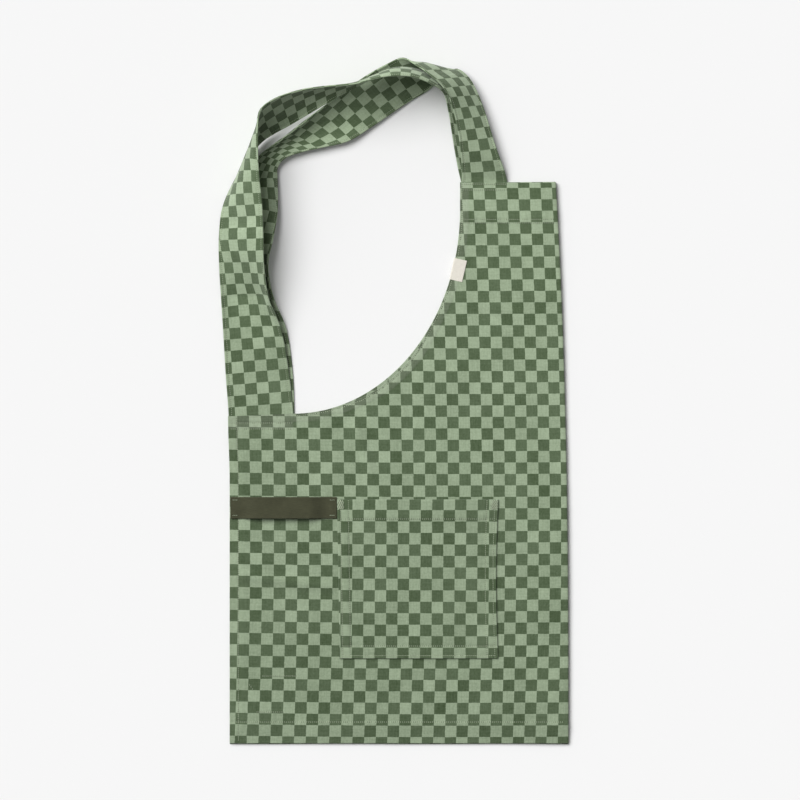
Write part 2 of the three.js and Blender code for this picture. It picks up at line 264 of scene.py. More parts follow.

# Unevenness of the check cloth, as noises over the checks
GRAIN = {
    # across, along, strength
    "warp": (7.0, 0.7, 0.28),
    "weft": (0.7, 7.0, 0.24),
    "fuzz": (6.5, 5.0, 0.38),
    "cloud": (0.3, 0.3, 0.3),
}
TONE = 0.13  # how much one check differs from the next
STRAY = 0.07  # how far the edges of the checks stray, in checks
STRAY_SCALE = 2.2
STRAY_DETAIL = 2.0
NOISE_DETAIL = 3.0
NOISE_ROUGHNESS = 0.55

# How the cloths shine, and the relief of their weaves: yarns to a check, strength, and depth in metres
CLOTH_SPECULAR = 0.2
SHEEN_ROUGHNESS = 0.5
CHECK_CLOTH = dict(roughness=0.9, sheen=0.25, yarns=30.0, strength=0.5, depth=0.00025)
WEBBING_CLOTH = dict(roughness=0.85, sheen=0.1, yarns=16.0, strength=0.6, depth=0.0004)
TAB_CLOTH = dict(roughness=0.85, sheen=0.1, yarns=30.0, strength=0.5, depth=0.0002)
WEAVE_SHARE = 0.5  # of the weave in the relief of the check cloth
YARN_SHARE = 1.4  # of the uneven yarns in it
# across, along, strength
WEBBING_SLUB = (2.0, 30.0, 0.9)
WEBBING_CLOUD = (0.6, 0.6, 0.6)
TAB_CLOUD = (3.0, 3.0, 0.16)

origin = np.array(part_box("body")[0]) * 1000 + (BACK_LEAN, 0, 0)


def metres(points):
    return (np.asarray(points, float) + origin) / 1000


def smoothstep(value, low, high):
    share = np.clip((value - low) / (high - low), 0, 1)
    return share * share * (3 - 2 * share)


def bump(distance, reach):
    return np.exp(-(distance / reach) ** 2)


def arc_length(points):
    return np.concatenate([[0], np.cumsum(np.linalg.norm(np.diff(points, axis=0), axis=1))])


def unique_places(*parts):
    return np.unique(np.round(np.concatenate([np.atleast_1d(p) for p in parts]), 3))


# Heights of the folded body

def fold_edge(y):
    return BODY_WIDTH - BIB_SLANT * (np.clip(y, 0, None) / BODY_HEIGHT) ** BIB_SLANT_POWER


def tucked(y):
    return TUCK * smoothstep(y, *TUCK_START) * (1 - smoothstep(y, *TUCK_END))


def open_edge(y, tuck=0.0):
    back = -BACK_LEAN * smoothstep(y, 0.8 * BACK_HEIGHT, BACK_HEIGHT)
    drop = np.clip((ARMHOLE_Y - y) / (ARMHOLE_DOWN + tuck), 0, 1)
    armhole = ARMHOLE_X + (ARMHOLE_ACROSS + tuck) * np.sqrt(1 - drop * drop)
    return np.where(y <= BACK_HEIGHT, back, armhole)


def from_armhole(x, y):
    """Distance from the upper half's armhole edge, measured into the cloth."""
    across = np.maximum(x - ARMHOLE_X, 0) / ARMHOLE_ACROSS
    down = np.minimum(y - ARMHOLE_Y, 0) / ARMHOLE_DOWN
    ring = np.maximum(np.hypot(across, down), 1e-6)
    slope = np.hypot(across / ARMHOLE_ACROSS, down / ARMHOLE_DOWN) / ring
    return (ring - 1) / np.maximum(slope, 1e-6) - tucked(y)


def flat_top(x, y):
    wave = np.cos(2 * np.pi * x / WAVE_ACROSS) * np.sin(2 * np.pi * y / WAVE_ALONG)
    to_fold = (fold_edge(y) - x) / FOLD_REACH
    return STACK + WAVE_HEIGHT * (1 + wave) / 2 + FOLD_PUFF * np.exp(-to_fold ** 2)


def sewn(distance, along, phase):
    """A stitch row pulls the cloth down along its line and puckers it on both sides."""
    stray = PUCKER["stray"] * np.sin(along / PUCKER["stray_length"])
    ripple = np.sin(2 * np.pi * along / PUCKER["length"] + phase + stray)
    return PUCKER["height"] * ripple * bump(distance, PUCKER["reach"]) - ROW_SINK * bump(distance, ROW_REACH)


def within_row(distance, row):
    """Share of a hem's height, full between its edge and its stitch row."""
    return 1 - smoothstep(distance, row - BEFORE_ROW, row + PAST_ROW)


def hem_rise(y, back, armhole, on_back):
    rise = HEM_RISE * within_row(y, HEM_ROW)
    rise = np.maximum(rise, on_back * HEM_RISE * within_row(back, BACK_ROW))
    rise = np.maximum(rise, HEM_RISE * within_row(BODY_HEIGHT - y, BODY_HEIGHT - BIB_ROWS[0]))
    facing = 1 - smoothstep(armhole, ARMHOLE_FACING - FACING_SLOPE, ARMHOLE_FACING + FACING_SLOPE)
    return np.maximum(rise, FACING_RISE * facing)


def seam_relief(x, y, back, armhole, on_back):
    rows = sewn(y - HEM_ROW, x, 0.3) + on_back * sewn(back - BACK_ROW, y, 1.1)
    rows += sewn(armhole - ARMHOLE_ROW, x + y, 2.0) * (y > BACK_HEIGHT)
    for number, row in enumerate(BIB_ROWS):
        rows += sewn(y - row, x, number)
    for number, row in enumerate(STRAP_SEAM_ROWS):
        rows += sewn(y - row, x, 2 + number) * (1 - smoothstep(x, *SEAM_END))
    return rows


def slackness(x, y):
    across = np.sin(x / SLACK["across"] + SLACK["sway_across"] * np.sin(y / SLACK["sway_rows"]))
    along = np.sin(y / SLACK["along"] + SLACK["sway_along"] * np.sin(x / SLACK["sway_columns"]))
    return SLACK["height"] * across * along


def creased(x, y):
    height = 0.0
    for x0, y0, x1, y1, reach, top in CREASES:
        length = math.hypot(x1 - x0, y1 - y0)
        along = ((x - x0) * (x1 - x0) + (y - y0) * (y1 - y0)) / length
        aside = ((x - x0) * (y1 - y0) - (y - y0) * (x1 - x0)) / length
        to_end = np.minimum(along, length - along)
        height = height + top * bump(aside, reach) * smoothstep(to_end, -CREASE_BEFORE, CREASE_WITHIN)
    return height


def drooped(y, back, on_back):
    at_hem = 1 - smoothstep(y, 0, HEM_ROW)
    at_back = on_back * (1 - smoothstep(back, 0, DROOP_WIDTH)) * (1 - smoothstep(y, *DROOP_END))
    return HEM_DROOP * np.maximum(at_hem, at_back)


def cloth_top(x, y):
    back = x - open_edge(y)
    armhole = from_armhole(x, y)
    on_back = (y < BACK_HEIGHT) * 1.0
    relief = hem_rise(y, back, armhole, on_back) + seam_relief(x, y, back, armhole, on_back)
    return flat_top(x, y) + relief + slackness(x, y) + creased(x, y) - drooped(y, back, on_back)


# Mesh builders

def linked(name, mesh):
    mesh.polygons.foreach_set("use_smooth", [True] * len(mesh.polygons))
    mesh.update()
    made = bpy.data.objects.new(name, mesh)
    bpy.context.scene.collection.objects.link(made)
    return made


def strip(a, b):
    """Quads between two rows of vertex numbers."""
    return np.stack([a[:-1], a[1:], b[1:], b[:-1]], axis=-1).reshape(-1, 4)


def grid_faces(grid):
    quads = np.stack([grid[:-1, :-1], grid[:-1, 1:], grid[1:, 1:], grid[1:, :-1]], axis=-1)
    return quads.reshape(-1, 4)


def pushed(edge, inside, lip):
    """The edge, moved out from the points beside it."""
    out = edge - inside
    out /= np.maximum(np.linalg.norm(out, axis=1), 1e-9)[:, None]
    return edge + lip * out


def sides_of(grid):
    return [grid[:, 0], grid[:, -1], grid[0], grid[-1]]


def closed_sheet(name, outer, inner, uv_outer, uv_inner, lip):
    """A cloth between two grids of points, with a rounded edge all round. Its UV map counts checks."""
    rows, columns = outer.shape[:2]
    middle = (outer + inner) / 2
    beside = [middle[:, 1], middle[:, -2], middle[1], middle[-2]]
    rims = [pushed(edge, inside, lip) for edge, inside in zip(sides_of(middle), beside)]
    points = np.vstack([outer.reshape(-1, 3), inner.reshape(-1, 3)] + rims)
    flat = rows * columns
    o = np.arange(flat).reshape(rows, columns)
    i = o + flat
    left = 2 * flat + np.arange(rows)
    right = left + rows
    first = 2 * flat + 2 * rows + np.arange(columns)
    last = first + columns
    front = np.vstack([grid_faces(o), strip(o[:, 0], left), strip(right, o[:, -1]),
                       strip(first, o[0]), strip(o[-1], last)])
    back = np.vstack([grid_faces(i)[:, ::-1], strip(left, i[:, 0]), strip(i[:, -1], right),
                      strip(i[0], first), strip(last, i[-1])])
    corners = [
        (o[0, 0], left[0], first[0]), (i[0, 0], first[0], left[0]),
        (o[0, -1], first[-1], right[0]), (i[0, -1], right[0], first[-1]),
        (o[-1, 0], last[0], left[-1]), (i[-1, 0], left[-1], last[0]),
        (o[-1, -1], right[-1], last[-1]), (i[-1, -1], last[-1], right[-1]),
    ]
    faces = np.vstack([front, back]).tolist() + [tuple(int(v) for v in corner) for corner in corners]
    both = [uv_outer.reshape(-1, 2), uv_inner.reshape(-1, 2)]
    as_front = np.vstack(both + sides_of(uv_outer))
    as_back = np.vstack(both + sides_of(uv_inner))
    mesh = bpy.data.meshes.new(name)
    mesh.from_pydata(metres(points).tolist(), [], faces)
    corner_vertex = np.empty(len(mesh.loops), int)
    mesh.loops.foreach_get("vertex_index", corner_vertex)
    uv = as_front[corner_vertex]
    behind = slice(4 * len(front), 4 * (len(front) + len(back)))
    uv[behind] = as_back[corner_vertex[behind]]
    layer = mesh.uv_layers.new(name="checks")
    layer.data.foreach_set("uv", uv.ravel())
    return linked(name, mesh)


def normals_of(grid):
    along = np.gradient(grid, axis=0)
    across = np.gradient(grid, axis=1)
    normal = np.cross(across, along)
    return normal / np.maximum(np.linalg.norm(normal, axis=2), 1e-9)[:, :, None]


# A stitch is a small spindle of rings: the place of each along it, and its share of the full width
STITCH_SIDES = 5
STITCH_ANGLES = [2 * math.pi * k / STITCH_SIDES for k in range(STITCH_SIDES)]
STITCH_RINGS = ((-1.0, 0.0), (-0.72, 0.75), (0.0, 1.0), (0.72, 0.75), (1.0, 0.0))
STITCH_ARCH = 0.2
STITCH_END_SINK = 0.1
HOLE_LIFT = 0.1
HOLE_MIDDLE_LIFT = 0.03
HEADING_STEP = 0.4


def sampled(places, along, values):
    return np.stack([np.interp(places, along, values[:, k]) for k in range(3)], 1)


def unit(vector):
    return vector / max(np.linalg.norm(vector), 1e-9)


def stitch_places(points, normals, pitch):
    """The middle, the heading and the upward side of each stitch of a row."""
    along = arc_length(points)
    count = max(int(along[-1] / pitch), 1)
    places = (np.arange(count) + 0.5) * along[-1] / count
    headings = sampled(places + HEADING_STEP, along, points) - sampled(places - HEADING_STEP, along, points)
    for middle, heading, up in zip(sampled(places, along, points), headings, sampled(places, along, normals)):
        heading = unit(heading)
        yield middle, heading, unit(up - heading * up.dot(heading))


def add_stitch(vertices, faces, middle, heading, up, length, width):
    side = np.cross(up, heading)
    start = len(vertices)
    for place, share in STITCH_RINGS:
        centre = middle + heading * place * length / 2 + up * STITCH_ARCH * (1 - place * place)
        if share == 0:
            vertices.append(centre - up * STITCH_END_SINK)
            continue
        for angle in STITCH_ANGLES:
            vertices.append(centre + (side * math.cos(angle) + up * math.sin(angle)) * share * width / 2)
    first, second, third, end = (start + 1 + STITCH_SIDES * ring for ring in range(4))
    for k in range(STITCH_SIDES):
        j = (k + 1) % STITCH_SIDES
        faces.append((start, first + k, first + j))
        faces.append((first + k, second + k, second + j, first + j))
        faces.append((second + k, third + k, third + j, second + j))
        faces.append((third + k, end, third + j))


# A needle hole drawn as a small dark disc just above the cloth: painted shade, not a dent
def add_hole_shade(vertices, holes, middle, heading, up, radius):
    side = np.cross(up, heading)
    start = len(vertices)
    vertices.append(middle + up * HOLE_MIDDLE_LIFT)
    for k, angle in enumerate(STITCH_ANGLES):
        out = heading * math.cos(angle) - side * math.sin(angle)
        vertices.append(middle + up * HOLE_LIFT + out * radius)
        holes.append((start, start + 1 + (k + 1) % STITCH_SIDES, start + 1 + k))


def thread(name, rows, pitch=3.0, length=2.0, width=1.0, hole_radius=0.65):
    """Stitches and needle holes along rows of (points, normals), all in one mesh; each hole is a dark disc of
    painted shade.
    """
    vertices, faces, holes = [], [], []
    for points, normals in rows:
        for middle, heading, up in stitch_places(points, normals, pitch):
            add_stitch(vertices, faces, middle, heading, up, length, width)
            add_hole_shade(vertices, holes, middle + heading * pitch / 2, heading, up, hole_radius)
    mesh = bpy.data.meshes.new(name)
    mesh.from_pydata(metres(np.array(vertices)).tolist(), [], faces + holes)
    mesh.polygons.foreach_set("material_index", [0] * len(faces) + [1] * len(holes))
    made = linked(name, mesh)
    made.data.materials.append(thread_cloth)
    made.data.materials.append(hole_shade)
    return made


# Materials

def add(tree, kind, inputs=None, **settings):
    made = tree.nodes.new(kind)
    for key, value in settings.items():
        setattr(made, key, value)
    for key, value in (inputs or {}).items():
        if isinstance(value, bpy.types.NodeSocket):
            tree.links.new(value, made.inputs[key])
        else:
            made.inputs[key].default_value = value
    return made


def math_node(tree, operation, a, b=0.0):
    return add(tree, "ShaderNodeMath", {0: a, 1: b}, operation=operation).outputs[0]


def vector_node(tree, operation, a, b):
    return add(tree, "ShaderNodeVectorMath", {0: a, 1: b}, operation=operation).outputs[0]


def scaled_colour(tree, colour, value):
    return add(tree, "ShaderNodeVectorMath", {0: colour, 3: value}, operation="SCALE").outputs[0]


def mixed(tree, factor, a, b):
    node = add(tree, "ShaderNodeMix", data_type="RGBA")
    for place, value in ((0, factor), (6, a), (7, b)):
        if isinstance(value, bpy.types.NodeSocket):
            tree.links.new(value, node.inputs[place])
        else:
            node.inputs[place].default_value = value if place == 0 else (*value, 1)
    return node.outputs[2]


def stretched_noise(tree, uv, across, along):
    vector = vector_node(tree, "MULTIPLY", uv, (across, along, 1.0))
    settings = {"Vector": vector, "Scale": 1.0, "Detail": NOISE_DETAIL, "Roughness": NOISE_ROUGHNESS}
    return add(tree, "ShaderNodeTexNoise", settings).outputs["Fac"]


def around_zero(tree, noise, strength):
    return math_node(tree, "MULTIPLY", math_node(tree, "SUBTRACT", noise, 0.5), strength)


def weave(tree, uv, yarns):
    """Plain weave: yarns go over and under each other by turns."""
    parts = add(tree, "ShaderNodeSeparateXYZ", {0: uv}).outputs
    waves = [math_node(tree, "SINE", math_node(tree, "MULTIPLY", parts[k], math.pi * yarns)) for k in (0, 1)]
    return math_node(tree, "MULTIPLY", waves[0], waves[1])


def bumped(tree, surface, height, cloth):
    settings = {"Strength": cloth["strength"], "Distance": cloth["depth"], "Height": height}
    node = add(tree, "ShaderNodeBump", settings)
    tree.links.new(node.outputs[0], surface.inputs["Normal"])


def cloth_base(name, cloth):
    material = bpy.data.materials.new(name)
    material.use_nodes = True
    tree = material.node_tree
    surface = tree.nodes["Principled BSDF"]
    surface.inputs["Roughness"].default_value = cloth["roughness"]
    surface.inputs["Specular IOR Level"].default_value = CLOTH_SPECULAR
    surface.inputs["Sheen Weight"].default_value = cloth["sheen"]
    surface.inputs["Sheen Roughness"].default_value = SHEEN_ROUGHNESS
    uv = add(tree, "ShaderNodeUVMap", uv_map="checks").outputs[0]
    return material, tree, surface, uv


def plain_material(name, colour, roughness, specular=0.5):
    material = bpy.data.materials.new(name)
    material.use_nodes = True
    surface = material.node_tree.nodes["Principled BSDF"]
    surface.inputs["Base Color"].default_value = (*colour, 1)
    surface.inputs["Roughness"].default_value = roughness
    surface.inputs["Specular IOR Level"].default_value = specular
    return material


def check_cells(tree, uv):
    settings = {"Vector": uv, "Scale": STRAY_SCALE, "Detail": STRAY_DETAIL}
    noise = add(tree, "ShaderNodeTexNoise", settings).outputs["Color"]
    shift = vector_node(tree, "SUBTRACT", noise, (0.5, 0.5, 0.5))
    shift = vector_node(tree, "MULTIPLY", shift, (STRAY, STRAY, 0.0))
    place = vector_node(tree, "ADD", uv, shift)
    return add(tree, "ShaderNodeVectorMath", {0: place}, operation="FLOOR").outputs[0]


def check_material():
    material, tree, surface, uv = cloth_base("check cloth", CHECK_CLOTH)
    cell = check_cells(tree, uv)
    parts = add(tree, "ShaderNodeSeparateXYZ", {0: cell}).outputs
    dark = math_node(tree, "FLOORED_MODULO", math_node(tree, "ADD", parts[0], parts[1]), 2.0)
    colour = mixed(tree, dark, LIGHT_GREEN, DARK_GREEN)
    doubled = add(tree, "ShaderNodeAttribute", attribute_name="doubled").outputs["Fac"]
    colour = mixed(tree, math_node(tree, "MULTIPLY", doubled, HEM_FLUFF), colour, FLUFF)
    tone = add(tree, "ShaderNodeTexWhiteNoise", {"Vector": cell}, noise_dimensions="2D").outputs["Value"]
    uneven = around_zero(tree, tone, TONE)
    noises = {}
    for name, (across, along, strength) in GRAIN.items():
        noises[name] = stretched_noise(tree, uv, across, along)
        uneven = math_node(tree, "ADD", uneven, around_zero(tree, noises[name], strength))
    # Painted light: the colour brightens with height up the front, standing in for a lamp that falls off
    # towards the hem
    place = add(tree, "ShaderNodeNewGeometry").outputs["Position"]
    up_the_front = add(tree, "ShaderNodeSeparateXYZ", {0: place}).outputs[1]
    painted_falloff = math_node(tree, "ADD", math_node(tree, "MULTIPLY", up_the_front, PAINTED_LIGHT_FALLOFF), 1.0)
    scaled = scaled_colour(tree, colour, math_node(tree, "ADD", uneven, painted_falloff))
    linted = vector_node(tree, "ADD", scaled, math_node(tree, "MULTIPLY", uneven, LINT))
    tree.links.new(linted, surface.inputs["Base Color"])
    yarns = math_node(tree, "ADD", noises["warp"], noises["weft"])
    woven = math_node(tree, "MULTIPLY", weave(tree, uv, CHECK_CLOTH["yarns"]), WEAVE_SHARE)
    height = math_node(tree, "ADD", woven, math_node(tree, "MULTIPLY", yarns, YARN_SHARE))
    bumped(tree, surface, height, CHECK_CLOTH)
    return material


def webbing_material():
    material, tree, surface, uv = cloth_base("webbing", WEBBING_CLOTH)
    slub = stretched_noise(tree, uv, *WEBBING_SLUB[:2])
    cloud = stretched_noise(tree, uv, *WEBBING_CLOUD[:2])
    uneven = math_node(tree, "ADD", around_zero(tree, slub, WEBBING_SLUB[2]),
                       around_zero(tree, cloud, WEBBING_CLOUD[2]))
    scaled = scaled_colour(tree, OLIVE, math_node(tree, "ADD", uneven, 1.0))
    tree.links.new(scaled, surface.inputs["Base Color"])
    height = math_node(tree, "ADD", weave(tree, uv, WEBBING_CLOTH["yarns"]), slub)
    bumped(tree, surface, height, WEBBING_CLOTH)
    return material


def tab_material():
    material, tree, surface, uv = cloth_base("tab cloth", TAB_CLOTH)
    uneven = around_zero(tree, stretched_noise(tree, uv, *TAB_CLOUD[:2]), TAB_CLOUD[2])
    scaled = scaled_colour(tree, CREAM, math_node(tree, "ADD", uneven, 1.0))
    tree.links.new(scaled, surface.inputs["Base Color"])
    bumped(tree, surface, weave(tree, uv, TAB_CLOTH["yarns"]), TAB_CLOTH)
    return material


check_cloth = check_material()
webbing_cloth = webbing_material()
tab_cloth = tab_material()
thread_cloth = plain_material("thread", THREAD_GREEN, 0.7)
# The needle holes' dark colour is painted shade
hole_shade = plain_material("needle hole", HOLE_SHADE_GREEN, 1.0)

# The inner face has its dark checks where the outer one has its light checks
ONE_CHECK = np.array([1.0, 0.0])


# Body: one cloth folded in half

def body_checks(x, y):
    g = BODY_GRAIN
    bend = (y / g["bend_up"]) ** 2 + (x / g["bend_across"]) ** 2
    u = g["column"] + x / g["width"] - y / g["lean"] + bend
    v = g["row"] - x / g["drop"] - y / g["height"] + (x / g["bow"]) ** 2
    return np.stack([u, v], axis=-1)


# Rows and columns of the body's grid, closer together at edges and stitch rows
SEAM_STEPS = np.array([-7.5, -4.5, -2.5, -1.2, 0, 1.2, 2.5, 4.5, 7.5])
HEM_STEPS = np.array([0, 0.5, 1.5, 3.5, 7, 12, 17])
BIB_STEPS = np.array([3.5, 1.5, 0.5, 0])
OPEN_STEPS = np.array([0, 0.5, 1.6, 2.8, 4, 6, 8.5, 10.5, 11.6, 12.5, 13.4, 14.6, 17])
LOW_STEPS = np.array([0, 0.6, 2.5, 7])
FOLD_STEPS = np.array([14, 9, 5, 2, 0])
PLAIN_STEP = 4.2
PLAIN_BACK = np.arange(43, 462, PLAIN_STEP)
PLAIN_BIB = np.arange(796, 834, PLAIN_STEP)
ARMHOLE_ROWS = 74
ARMHOLE_ROWS_END = 770.0
UPPER_COLUMNS = 116
LOWER_COLUMNS = 22
FOLD_TURN = np.linspace(-math.pi / 2, math.pi / 2, 14)[1:-1]

# How far the lower half peeps out at the hem and at the bib, and over what length that dies out
HEM_PEEP = 1.1
HEM_PEEP_REACH = 30.0
BIB_PEEP = 1.4
BIB_PEEP_REACH = 25.0
PEEP_SWAY = 0.25
PEEP_SWAY_LENGTH = 37.0


def body_rows_y():
    seams = [STRAP_SEAM_ROWS[0] + SEAM_STEPS[:7], STRAP_SEAM_ROWS[1] + SEAM_STEPS[2:]]
    back = unique_places(HEM_STEPS, HEM_ROW + SEAM_STEPS, PLAIN_BACK, *seams,
                         [BACK_HEIGHT - 0.6, BACK_HEIGHT])
    curve = ARMHOLE_Y - ARMHOLE_DOWN * np.cos(np.linspace(0, math.pi / 2, ARMHOLE_ROWS))
    seams = [BIB_ROWS[0] + SEAM_STEPS[:6], BIB_ROWS[1] + SEAM_STEPS[3:]]
    bib = unique_places(curve[curve < ARMHOLE_ROWS_END], *seams, PLAIN_BIB, BODY_HEIGHT - BIB_STEPS)
    return np.concatenate([back, bib])


def fold_turn(edge, y, height, inset):
    """The round of the fold, from the lower half up to the upper one."""
    x = edge + (FOLD_RADIUS - inset) * np.cos(FOLD_TURN) ** FOLD_SQUARE
    up = np.sign(FOLD_TURN) * np.abs(np.sin(FOLD_TURN)) ** FOLD_SQUARE
    return np.stack([x, y, height / 2 + (height / 2 - inset) * up], 1)


def body_row(y):
    """One row of the body's outer face, inner face and checks, from the upper half to the lower one."""
    start = float(open_edge(y, tucked(y)))
    low_start = float(open_edge(y))
    edge = float(fold_edge(y)) - FOLD_RADIUS
    inside = np.linspace(start + OPEN_STEPS[-1], edge - FOLD_STEPS[0], UPPER_COLUMNS)[1:-1]
    upper = np.concatenate([start + OPEN_STEPS, inside, edge - FOLD_STEPS])[::-1]
    low_inside = np.linspace(low_start + OPEN_STEPS[-1], edge, LOWER_COLUMNS)
    lower = np.concatenate([low_start + LOW_STEPS, low_inside])
    at_hem = HEM_PEEP * math.exp(-y / HEM_PEEP_REACH)
    peep = BIB_PEEP * math.exp(-(BODY_HEIGHT - y) / BIB_PEEP_REACH) - at_hem
    low_y = y + peep * (1 - PEEP_SWAY + PEEP_SWAY * np.sin(lower / PEEP_SWAY_LENGTH))
    turn_y = y + peep * (1 - np.sin(FOLD_TURN)) / 2
    height = float(cloth_top(edge, y))
    top = cloth_top(upper, y)
    under = np.minimum(flat_top(upper, y), top) - CLOTH
    upper_y = np.full_like(upper, y)
    outer = np.vstack([np.stack([lower, low_y, np.zeros_like(lower)], 1), fold_turn(edge, turn_y, height, 0),
                       np.stack([upper, upper_y, top], 1)])
    inner = np.vstack([np.stack([lower, low_y, np.full_like(lower, CLOTH)], 1),
                       fold_turn(edge, turn_y, height, CLOTH), np.stack([upper, upper_y, under], 1)])
    round_the_fold = edge + FOLD_RADIUS * (math.pi / 2 - FOLD_TURN)
    place = np.concatenate([2 * edge + FOLD_RADIUS * math.pi - lower, round_the_fold, upper])
    return outer[::-1], inner[::-1], body_checks(place, y)[::-1]


def mark_doubled(made):
    """Marks where the cloth is doubled, along the armhole and under the strap's seam."""
    places = np.empty(3 * len(made.data.vertices))
    made.data.vertices.foreach_get("co", places)
    x, y, _ = (places.reshape(-1, 3) * 1000 - origin).T
    facing = 1 - smoothstep(from_armhole(x, y), ARMHOLE_FACING - 1, ARMHOLE_FACING + 1)
    seam = smoothstep(y, STRAP_SEAM_ROWS[0] - 1, STRAP_SEAM_ROWS[0] + 1) * (x < ARMHOLE_X)
    layer = made.data.attributes.new("doubled", "FLOAT", "POINT")
    layer.data.foreach_set("value", np.maximum(facing, seam))


body_outer, body_inner, body_uv = (np.array(grid) for grid in zip(*(body_row(y) for y in body_rows_y())))
body = closed_sheet("body_cloth", body_outer, body_inner, body_uv, body_uv + ONE_CHECK, LIPS["body"])
mark_doubled(body)


# Straps

def spline(points, places):
    """A smooth curve through points; place i is point i."""
    padded = np.vstack([2 * points[0] - points[1], points, 2 * points[-1] - points[-2]])
    row = np.clip(np.floor(places).astype(int), 0, len(points) - 2)
    share = (places - row)[:, None]
    p0, p1, p2, p3 = (padded[row + k] for k in range(4))
    d0, d1, d2 = (np.sqrt(np.linalg.norm(b - a, axis=1))[:, None] for a, b in ((p0, p1), (p1, p2), (p2, p3)))
    start = ((p1 - p0) / d0 - (p2 - p0) / (d0 + d1) + (p2 - p1) / d1) * d1
    end = ((p2 - p1) / d1 - (p3 - p1) / (d1 + d2) + (p3 - p2) / d2) * d1
    square = 3 * (p2 - p1) - 2 * start - end
    cube = 2 * (p1 - p2) + start + end
    return p1 + share * (start + share * (square + share * cube))


def arc_half_angle(ratio):
    """Half angle of the arc whose chord is that part of its length."""
    low, high = np.full_like(ratio, 1e-6), np.full_like(ratio, MAX_BOW)
    for _ in range(40):
        middle = (low + high) / 2
        flatter = np.sin(middle) / middle > ratio
        low, high = np.where(flatter, middle, low), np.where(flatter, high, middle)
    return np.where(ratio >= 1, 0.0, low)


STRAP_STEPS = 380
STRAP_PLACES = np.concatenate([[0, 0.005, 0.016, 0.03, 0.042, 0.052, 0.07], np.linspace(0.1, 0.9, 25),
                               [0.93, 0.948, 0.958, 0.97, 0.984, 0.995, 1]])
FLAT_BOW = 0.01  # a smaller half angle counts as flat

# Relief along a strap's edges
SEAM_HOLD = (35.0, 60.0)  # the seam lets the strap go between these distances from its ends
EDGE_SINK = 0.34
RIM_RISE = 0.35
FREE_RIM_RISE = 0.45
RIM_PLACE = 1.5
RIM_REACH = 1.4
EDGE_PUCKER = dict(height=0.12, length=8.3, reach=5.0)


def strap_middle(sections):
    """The middle layer of a strap, and its width along it."""
    f = np.linspace(0, 1, STRAP_STEPS + 1)
    t = STRAP_PLACES
    last = len(sections) - 1
    left = spline(sections[:, 0:3], f * last)
    right = spline(sections[:, 3:6], f * last)
    chord = right - left
    length = np.linalg.norm(chord, axis=1)
    outward = np.cross(chord, np.gradient((left + right) / 2, axis=0))
    outward /= np.linalg.norm(outward, axis=1)[:, None]
    width = STRAP_BACK_WIDTH + (STRAP_BIB_WIDTH - STRAP_BACK_WIDTH) * np.minimum(f / STRAP_TAPER, 1)
    bow = np.interp(f * last, np.arange(last + 1), sections[:, 6])
    half = arc_half_angle(length / width) * bow
    flat = np.abs(half) < FLAT_BOW
    half = np.where(flat, FLAT_BOW, half)
    angle = half[:, None] * (2 * t - 1)
    radius = length / 2 / np.sin(half)
    share = np.where(flat[:, None], t, 0.5 + radius[:, None] * np.sin(angle) / length[:, None])
    rise = np.where(flat[:, None], 0.0, radius[:, None] * (np.cos(angle) - np.cos(half)[:, None]))
    grid = left[:, None] + chord[:, None] * share[:, :, None] + outward[:, None] * rise[:, :, None]
    grid[:, :, 2] = np.maximum(grid[:, :, 2], STRAP_FLOOR)
    return grid, width


def strap_checks(along, across, checks):
    places, rows, columns, pitches, slants = checks.T
    slant = np.interp(along, places, slants)
    straight = along - slant * (across - np.interp(along, places, columns))
    row = np.interp(straight, places, rows)
    row += (np.minimum(straight - places[0], 0) + np.maximum(straight - places[-1], 0)) / STRAP_CHECK
    column = (across - np.interp(straight, places, columns)) / np.interp(straight, places, pitches)
    return np.stack([column, row], axis=-1)


def strap_relief(along, edge):
    free = smoothstep(along, *SEAM_HOLD) * smoothstep(along[-1] - along, *SEAM_HOLD)
    rim = (RIM_RISE + FREE_RIM_RISE * free[:, None]) * bump(edge - RIM_PLACE, RIM_REACH)
    row = edge - STRAP_EDGE_ROW
    ripple = np.sin(2 * np.pi * along[:, None] / EDGE_PUCKER["length"])
    pucker = EDGE_PUCKER["height"] * ripple * bump(row, EDGE_PUCKER["reach"])
    return rim + pucker - EDGE_SINK * bump(row, RIM_REACH)


def across_at(grid, places):
    """The point of each row of a grid that lies at that place across the strap."""
    return np.array([[np.interp(place, STRAP_PLACES, row[:, c]) for c in range(3)]
                     for place, row in zip(places, grid)])


def strap(name, sections, checks):
    grid, width = strap_middle(sections)
    along = arc_length(grid[:, len(STRAP_PLACES) // 2])
    across = STRAP_PLACES[None, :] * width[:, None]
    edge = np.minimum(across, width[:, None] - across)
    normal = normals_of(grid)
    half = (STRAP_CLOTH / 2 + strap_relief(along, edge))[:, :, None]
    outer = grid + normal * half
    inner = grid - normal * half
    for side in (outer, inner):
        side[:, :, 2] = np.maximum(side[:, :, 2], LEAST_HEIGHT)
    uv = strap_checks(np.broadcast_to(along[:, None], across.shape), across, checks)
    made = closed_sheet(name, outer, inner, uv, uv + ONE_CHECK, LIPS["strap"])
    row = STRAP_EDGE_ROW / width
    rows = []
    for side, facing in ((outer, normal), (inner, -normal)):
        for place in (row, 1 - row):
            rows.append((across_at(side, place), across_at(facing, place)))
    sewing = thread(name.replace("cloth", "stitches"), rows, width=0.7, hole_radius=0.4)
    return made, sewing, along[-1]


upper_strap, upper_stitches, upper_length = strap("upper_strap_cloth", UPPER_STRAP, UPPER_CHECKS)
lower_strap, lower_stitches, lower_length = strap("lower_strap_cloth", LOWER_STRAP, LOWER_CHECKS)


# Pocket

POCKET_RIM = np.array([0, 0.002, 0.007])
POCKET_SEAM_STEPS = np.array([-0.006, 0, 0.006])
POCKET_LINES = 78
POCKET_ROW_POINTS = 80
POCKET_TACKS = dict(inset=0.02, swing=0.018, start=0.94, end=0.995, points=24)


